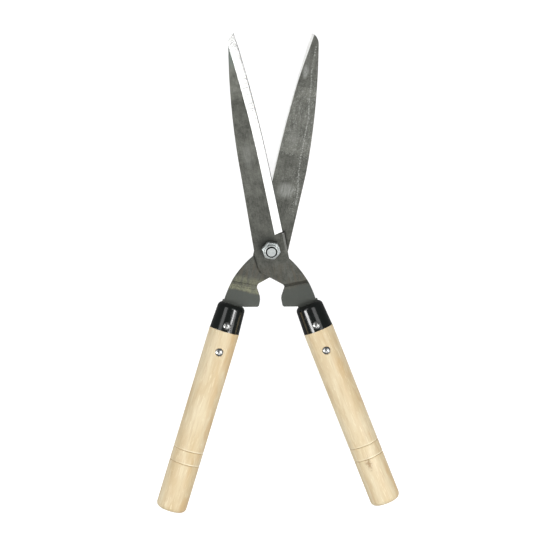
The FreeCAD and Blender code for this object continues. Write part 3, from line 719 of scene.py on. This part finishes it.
def threaded_bolt(end, thread):
    """The pivot bolt: the CAD's head and plain shank, with a real thread from the nut upwards."""
    node = frame["nodes"]["pivot_bolt"]
    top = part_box("pivot_bolt")[1].z / MM
    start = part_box("front_blade")[0].z / MM + THREAD_FROM
    mesh = bmesh.new()
    mesh.from_mesh(node.data)
    bmesh.ops.remove_doubles(mesh, verts=mesh.verts, dist=0.001 * MM)
    cut = Vector((0, 0, (start + SHANK_LAP) * MM))
    parts = mesh.verts[:] + mesh.edges[:] + mesh.faces[:]
    bmesh.ops.bisect_plane(mesh, geom=parts, plane_co=cut, plane_no=(0, 0, 1), clear_outer=True)
    bmesh.ops.holes_fill(mesh, edges=[e for e in mesh.edges if e.is_boundary])
    rows = thread_rows(mesh, start, top)
    for low, high in zip(rows, rows[1:]):
        for step in range(THREAD_STEPS):
            after = (step + 1) % THREAD_STEPS
            flank = mesh.faces.new((low[step], low[after], high[after], high[step]))
            flank.material_index = 1
    mesh.faces.new(rows[-1])
    mesh.faces.new(reversed(rows[0]))
    bmesh.ops.recalc_face_normals(mesh, faces=mesh.faces)
    data = bpy.data.meshes.new("pivot_bolt_threaded")
    mesh.to_mesh(data)
    mesh.free()
    piece = bpy.data.objects.new("pivot_bolt_threaded", data)
    bpy.context.scene.collection.objects.link(piece)
    data.materials.append(end)
    data.materials.append(thread)
    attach(piece, "rear_half")
    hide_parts("pivot_bolt")


# ---------------------------------------------------------------- floor, backdrop, lights, camera


# Half the floor's width and the backdrop's radius, in metres, and how bright the sky is.
FLOOR_REACH = 4.0
BACKDROP_RADIUS = 3.9
SKY_STRENGTH = 0.11


def glowing_white(name, grey, glow, roughness):
    """Plain matt white for the set, mostly lit by itself so that it stays even."""
    s = Shade(name, Roughness=roughness, Specular_IOR_Level=0.0)
    s.to_shader("Base Color", (grey, grey, grey))
    s.to_shader("Emission Color", (1.0, 1.0, 1.0))
    s.to_shader("Emission Strength", glow)
    return s.material


def make_floor():
    """A plain white floor, kept out of the reflections so that dark gloss stays dark."""
    mesh = bpy.data.meshes.new("floor")
    corners = [(-1, -1), (1, -1), (1, 1), (-1, 1)]
    corners = [(x * FLOOR_REACH, y * FLOOR_REACH, 0) for x, y in corners]
    mesh.from_pydata(corners, [], [(0, 1, 2, 3)])
    floor = bpy.data.objects.new("floor", mesh)
    bpy.context.scene.collection.objects.link(floor)
    mesh.materials.append(glowing_white("floor_white", 0.25, 0.94, 0.9))
    floor.visible_glossy = False


def make_backdrop():
    """A plain white shell round the set, which neither lights the shears nor shows in them."""
    shell = bmesh.new()
    bmesh.ops.create_icosphere(shell, subdivisions=5, radius=BACKDROP_RADIUS)
    data = bpy.data.meshes.new("backdrop")
    shell.to_mesh(data)
    shell.free()
    backdrop = bpy.data.objects.new("backdrop", data)
    bpy.context.scene.collection.objects.link(backdrop)
    white = glowing_white("backdrop_white", 0.0, 1.0, 1.0)
    white.cycles.emission_sampling = "NONE"
    data.materials.append(white)
    backdrop.visible_diffuse = False
    backdrop.visible_glossy = False
    backdrop.visible_transmission = False
    backdrop.visible_shadow = False


def softbox(name, towards, distance, wide, tall, power, matt=True, shine=True):
    """A soft rectangular light that stands in the given direction and faces the shears.  It can be
    kept out of the matt shading or out of the reflections."""
    light = bpy.data.lights.new(name, "AREA")
    light.shape = "RECTANGLE"
    light.size = wide
    light.size_y = tall
    light.energy = power
    lamp = bpy.data.objects.new(name, light)
    lamp.location = Vector(towards).normalized() * distance
    lamp.rotation_euler = lamp.location.to_track_quat("Z", "Y").to_euler()
    lamp.visible_diffuse = matt
    lamp.visible_glossy = shine
    bpy.context.scene.collection.objects.link(lamp)


def make_lights():
    """Two keys that only light, one box overhead that lights and reflects, and five that only
    reflect.  Each has its direction, distance, width and height in metres, and power in watts."""
    softbox("key_right", (0.54, -0.05, 0.84), 1.3, 0.6, 0.7, 10.3, shine=False)
    softbox("key_left", (-0.54, -0.05, 0.84), 1.3, 0.6, 0.7, 9.7, shine=False)
    softbox("overhead", (0.05, -0.327, 0.944), 1.3, 0.8, 0.6, 1.9)
    softbox("strip_right", (0.500, 0.080, 0.862), 1.2, 0.24, 0.22, 1.85, matt=False)
    softbox("strip_left", (-0.669, -0.101, 0.737), 1.2, 0.24, 0.42, 3.4, matt=False)
    softbox("low_right", (0.63, -0.24, 0.738), 1.2, 0.62, 0.32, 1.22, matt=False)
    softbox("wash_right", (0.342, 0.354, 0.870), 1.2, 0.50, 0.50, 1.0, matt=False)
    softbox("wash_left", (-0.614, 0.383, 0.690), 1.2, 0.50, 0.50, 1.0, matt=False)
    world = bpy.data.worlds.new("studio")
    world.use_nodes = True
    sky = world.node_tree.nodes["Background"]
    sky.inputs["Color"].default_value = (1.0, 1.0, 1.0, 1.0)
    sky.inputs["Strength"].default_value = SKY_STRENGTH
    bpy.context.scene.world = world


# The camera's tilt, turn and roll in degrees, the point it faces in mm, and its distance.
CAMERA_ANGLES = (19.11, -3.0, 0.57)
CAMERA_TARGET = (4.68, -30.80, 2.26)
CAMERA_DISTANCE = 1.4
CAMERA_LENS = 92.75


def make_camera():
    """Looks down at the nut side from beyond the blades, a little to the left."""
    pitch, yaw, roll = (math.radians(angle) for angle in CAMERA_ANGLES)
    target = Vector(CAMERA_TARGET) * MM
    level = math.cos(pitch)
    back = Vector((math.sin(yaw) * level, math.sin(pitch), math.cos(yaw) * level))
    up = (Vector((0, 1, 0)) - back * back.y).normalized()
    right = up.cross(back)
    across = right * math.cos(roll) + up * math.sin(roll)
    upward = up * math.cos(roll) - right * math.sin(roll)
    camera = bpy.data.objects.new("camera", bpy.data.cameras.new("camera"))
    camera.data.sensor_width = 36.0
    camera.data.lens = CAMERA_LENS
    camera.data.clip_start = 0.05
    camera.data.clip_end = 20.0
    turned = Matrix((across, upward, back)).transposed().to_4x4()
    camera.matrix_world = Matrix.Translation(target + back * CAMERA_DISTANCE) @ turned
    bpy.context.scene.collection.objects.link(camera)
    bpy.context.scene.camera = camera


# ---------------------------------------------------------------- the whole scene


# How far the sharp edges of each kind of piece are rounded, in mm.
FERRULE_EDGE = 0.25
RIVET_EDGE = 0.10
PIVOT_EDGE = 0.18


def dress_fittings():
    black, nickel, zinc = black_gloss(), plated_rivet(), bright_zinc("pivot_zinc", 1.0)
    for side in SIDES:
        paint(f"{side}_ferrule", black)
        soften(f"{side}_ferrule", FERRULE_EDGE)
        for place in ("ferrule", "handle"):
            for kind in ("rivet", "burr"):
                paint(f"{side}_{place}_{kind}", nickel)
                soften(f"{side}_{place}_{kind}", RIVET_EDGE)
    for node in ("pivot_washer", "pivot_nut"):
        paint(node, zinc)
        soften(node, PIVOT_EDGE)
    paint("nut_insert", satin_nylon())
    # The bolt's end gets a copy of the zinc darkened as painted shade.
    threaded_bolt(bright_zinc("bolt_zinc_shaded", 0.76), shaded_oily_thread())


def main():
    make_camera()
    make_lights()
    make_floor()
    make_backdrop()
    for side in SIDES:
        paint_blade(side)
        paint(f"{side}_handle", turned_wood(side))
    dress_fittings()
    bpy.context.scene.view_settings.view_transform = "Standard"


main()
